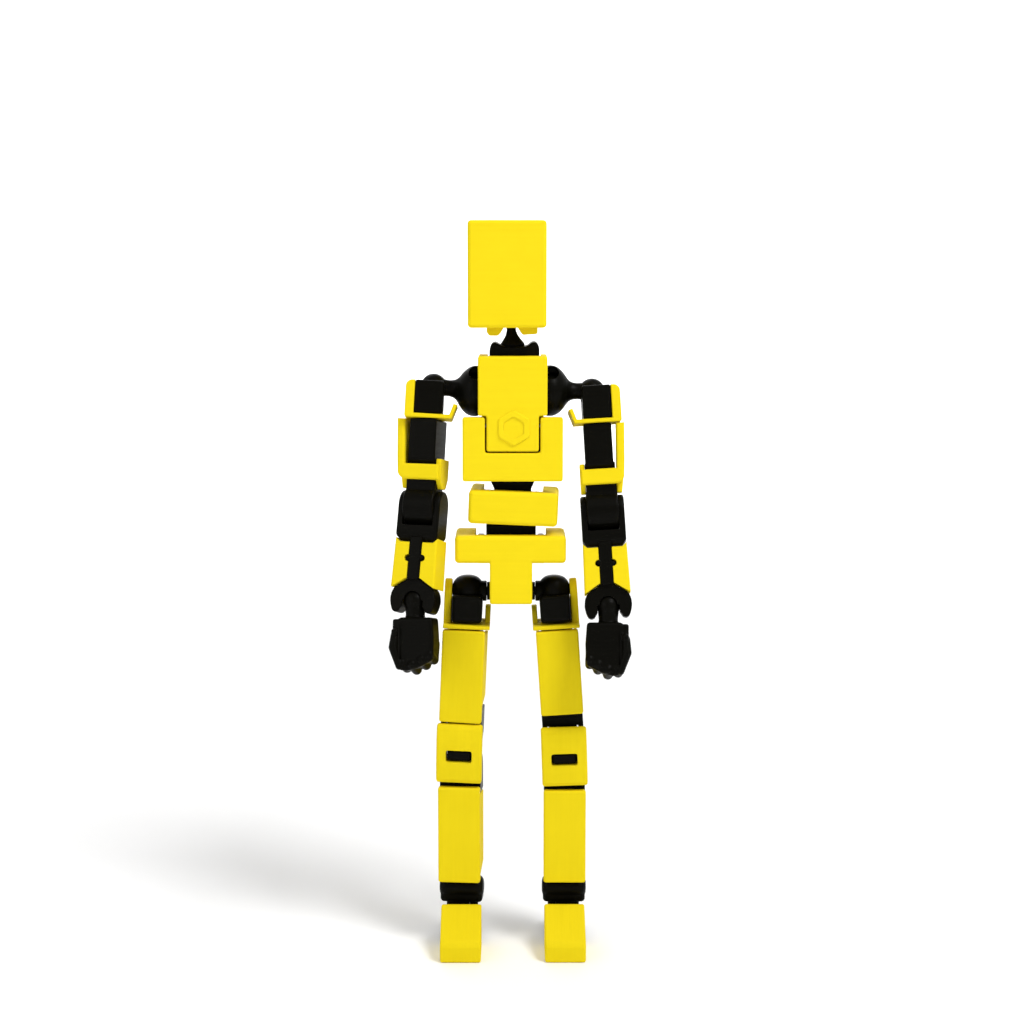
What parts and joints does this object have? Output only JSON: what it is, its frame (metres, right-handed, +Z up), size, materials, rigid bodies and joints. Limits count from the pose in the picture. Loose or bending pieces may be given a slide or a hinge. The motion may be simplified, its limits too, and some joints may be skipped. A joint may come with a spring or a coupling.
{
  "type": "posable humanoid robot figure kit",
  "caption": "Posable humanoid robot figure: black snap-fit ball and hinge skeleton with clip-on yellow armour plates, block head and fists.",
  "frame": {"origin": "on the ground under the middle of the figure's bounding box", "axes": "+Z up, the figure faces -Y, +X is the figure's own left"},
  "size_m": [0.0446, 0.0212, 0.136],
  "materials": {
    "yellow_torso": "printed, faint layer lines",
    "yellow_limb": "printed, faint layer lines",
    "black": "printed, satin"
  },
  "bodies": {
    "pelvis": {"pelvis_frame": "black", "pelvis_plate": "yellow_torso"},
    "waist": {"waist_link": "black"},
    "abdomen": {"abdomen_core": "black", "abdomen_band": "yellow_torso"},
    "chest": {"chest_frame": "black", "chest_plate_upper": "yellow_torso", "chest_plate_lower": "yellow_torso", "back_plate": "yellow_torso", "chest_link": "black"},
    "neck": {"neck_post": "black"},
    "head": {"head_shell": "yellow_torso", "head_socket": "yellow_torso"},
    "shoulder_l": {"shoulder_link_l": "black"},
    "upper_arm_l": {"upper_arm_socket_l": "black", "shoulder_guard_l": "yellow_limb"},
    "bicep_l": {"bicep_core_l": "black", "bicep_guard_l": "yellow_limb"},
    "forearm_l": {"forearm_core_l": "black", "forearm_guard_l": "yellow_limb"},
    "hand_l": {"hand_l": "black"},
    "hip_l": {"hip_ball_l": "black"},
    "thigh_socket_l": {"thigh_socket_l": "black", "hip_guard_l": "yellow_limb"},
    "thigh_l": {"thigh_core_l": "black", "thigh_guard_l": "yellow_limb"},
    "knee_l": {"knee_link_l": "black", "knee_guard_l": "yellow_limb"},
    "shin_l": {"shin_core_l": "black", "shin_guard_l": "yellow_limb"},
    "ankle_l": {"ankle_link_l": "black"},
    "foot_l": {"foot_core_l": "black", "foot_cover_l": "yellow_limb"},
    "shoulder_r": {"shoulder_link_r": "black"},
    "upper_arm_r": {"upper_arm_socket_r": "black", "shoulder_guard_r": "yellow_limb"},
    "bicep_r": {"bicep_core_r": "black", "bicep_guard_r": "yellow_limb"},
    "forearm_r": {"forearm_core_r": "black", "forearm_guard_r": "yellow_limb"},
    "hand_r": {"hand_r": "black"},
    "hip_r": {"hip_ball_r": "black"},
    "thigh_socket_r": {"thigh_socket_r": "black", "hip_guard_r": "yellow_limb"},
    "thigh_r": {"thigh_core_r": "black", "thigh_guard_r": "yellow_limb"},
    "knee_r": {"knee_link_r": "black", "knee_guard_r": "yellow_limb"},
    "shin_r": {"shin_core_r": "black", "shin_guard_r": "yellow_limb"},
    "ankle_r": {"ankle_link_r": "black"},
    "foot_r": {"foot_core_r": "black", "foot_cover_r": "yellow_limb"}
  },
  "joints": [
    {"name": "waist_lean", "type": "hinge", "parent": "pelvis", "child": "waist", "pos_m": [0.00011, 0.003, 0.0767], "axis": [1, 0, 0], "range_deg": [-12, 12]},
    {"name": "waist_turn", "type": "hinge", "parent": "waist", "child": "abdomen", "pos_m": [0.00011, 0.003, 0.0767], "axis": [0.0384, -0.0013, 0.9993], "range_deg": [-30, 30]},
    {"name": "chest_bend", "type": "hinge", "parent": "abdomen", "child": "chest", "pos_m": [0.00042, 0.00299, 0.08469], "axis": [-1, 0, 0], "range_deg": [-10, 14]},
    {"name": "neck_nod", "type": "hinge", "parent": "chest", "child": "neck", "pos_m": [0.00042, 0.00295, 0.11229], "axis": [0.998, -0.0001, 0.0635], "range_deg": [-20, 20]},
    {"name": "head_turn", "type": "hinge", "parent": "neck", "child": "head", "pos_m": [0.00002, 0.00294, 0.11858], "axis": [0, -0.0013, 1], "range_deg": [-80, 80]},
    {"name": "arm_swing_l", "type": "hinge", "parent": "chest", "child": "shoulder_l", "pos_m": [0.00772, 0.00346, 0.105], "axis": [-0.9998, 0, 0.0174], "range_deg": [-50, 130]},
    {"name": "arm_raise_l", "type": "hinge", "parent": "shoulder_l", "child": "upper_arm_l", "pos_m": [0.01502, 0.00346, 0.10487], "axis": [0.003, -0.985, 0.1723], "range_deg": [0, 80]},
    {"name": "bicep_turn_l", "type": "hinge", "parent": "upper_arm_l", "child": "bicep_l", "pos_m": [0.01566, 0.00347, 0.1049], "axis": [-0.0578, 0.1718, 0.9834], "range_deg": [-45, 80]},
    {"name": "elbow_bend_l", "type": "hinge", "parent": "bicep_l", "child": "forearm_l", "pos_m": [0.01695, -0.00034, 0.08312], "axis": [-0.9978, 0.0215, -0.0624], "range_deg": [0, 80]},
    {"name": "wrist_bend_l", "type": "hinge", "parent": "forearm_l", "child": "hand_l", "pos_m": [0.01791, -0.00483, 0.06624], "axis": [-0.9993, 0.0362, -0.0068], "range_deg": [-20, 50]},
    {"name": "hip_swing_l", "type": "hinge", "parent": "pelvis", "child": "hip_l", "pos_m": [0.00816, 0.003, 0.0676], "axis": [-1, 0, 0], "range_deg": [-30, 55]},
    {"name": "hip_spread_l", "type": "hinge", "parent": "hip_l", "child": "thigh_socket_l", "pos_m": [0.00816, 0.003, 0.0676], "axis": [0, -1, 0], "range_deg": [-4, 35]},
    {"name": "thigh_turn_l", "type": "hinge", "parent": "thigh_socket_l", "child": "thigh_l", "pos_m": [0.00816, 0.003, 0.0676], "axis": [0.0663, 0, -0.9978], "range_deg": [-30, 30]},
    {"name": "knee_upper_l", "type": "hinge", "parent": "thigh_l", "child": "knee_l", "pos_m": [0.00994, 0.003, 0.04076], "axis": [0.9995, 0, 0.0332], "range_deg": [0, 65]},
    {"name": "knee_lower_l", "type": "hinge", "parent": "knee_l", "child": "shin_l", "pos_m": [0.01019, 0.003, 0.03326], "axis": [1, 0, 0], "range_deg": [0, 65]},
    {"name": "ankle_bend_l", "type": "hinge", "parent": "shin_l", "child": "ankle_l", "pos_m": [0.01019, 0.003, 0.0104], "axis": [1, 0, 0], "range_deg": [-20, 30]},
    {"name": "ankle_roll_l", "type": "hinge", "parent": "ankle_l", "child": "foot_l", "pos_m": [0.01019, 0.003, 0.0055], "axis": [0, 1, 0], "range_deg": [-12, 12]},
    {"name": "arm_swing_r", "type": "hinge", "parent": "chest", "child": "shoulder_r", "pos_m": [-0.00688, 0.00346, 0.105], "axis": [-0.9945, -0.0001, 0.1045], "range_deg": [-50, 130]},
    {"name": "arm_raise_r", "type": "hinge", "parent": "shoulder_r", "child": "upper_arm_r", "pos_m": [-0.01414, 0.00346, 0.10576], "axis": [-0.0181, 0.985, -0.1714], "range_deg": [0, 80]},
    {"name": "bicep_turn_r", "type": "hinge", "parent": "upper_arm_r", "child": "bicep_r", "pos_m": [-0.01479, 0.00346, 0.10579], "axis": [-0.0542, -0.1721, -0.9836], "range_deg": [-45, 80]},
    {"name": "elbow_bend_r", "type": "hinge", "parent": "bicep_r", "child": "forearm_r", "pos_m": [-0.01599, -0.00036, 0.08401], "axis": [-0.96, 0.2798, 0.0039], "range_deg": [0, 80]},
    {"name": "wrist_bend_r", "type": "hinge", "parent": "forearm_r", "child": "hand_r", "pos_m": [-0.01736, -0.0048, 0.06714], "axis": [-0.9629, 0.2652, -0.0499], "range_deg": [-20, 50]},
    {"name": "hip_swing_r", "type": "hinge", "parent": "pelvis", "child": "hip_r", "pos_m": [-0.00794, 0.003, 0.0676], "axis": [-1, 0, 0], "range_deg": [-30, 55]},
    {"name": "hip_spread_r", "type": "hinge", "parent": "hip_r", "child": "thigh_socket_r", "pos_m": [-0.00794, 0.003, 0.0676], "axis": [0, -1, 0], "range_deg": [-35, 4]},
    {"name": "thigh_turn_r", "type": "hinge", "parent": "thigh_socket_r", "child": "thigh_r", "pos_m": [-0.00794, 0.003, 0.0676], "axis": [0.0436, 0, 0.999], "range_deg": [-30, 30]},
    {"name": "knee_upper_r", "type": "hinge", "parent": "thigh_r", "child": "knee_r", "pos_m": [-0.00909, 0.003, 0.04133], "axis": [0.996, -0.0871, -0.0216], "range_deg": [0, 65]},
    {"name": "knee_lower_r", "type": "hinge", "parent": "knee_r", "child": "shin_r", "pos_m": [-0.00925, 0.00299, 0.03383], "axis": [0.9962, -0.0871, 0.0002], "range_deg": [0, 65]},
    {"name": "ankle_bend_r", "type": "hinge", "parent": "shin_r", "child": "ankle_r", "pos_m": [-0.00925, 0.0029, 0.0104], "axis": [0.9962, -0.0871, 0.0002], "range_deg": [-20, 30]},
    {"name": "ankle_roll_r", "type": "hinge", "parent": "ankle_r", "child": "foot_r", "pos_m": [-0.00926, 0.00288, 0.0055], "axis": [0, -1, 0], "range_deg": [-12, 12]}
  ]
}
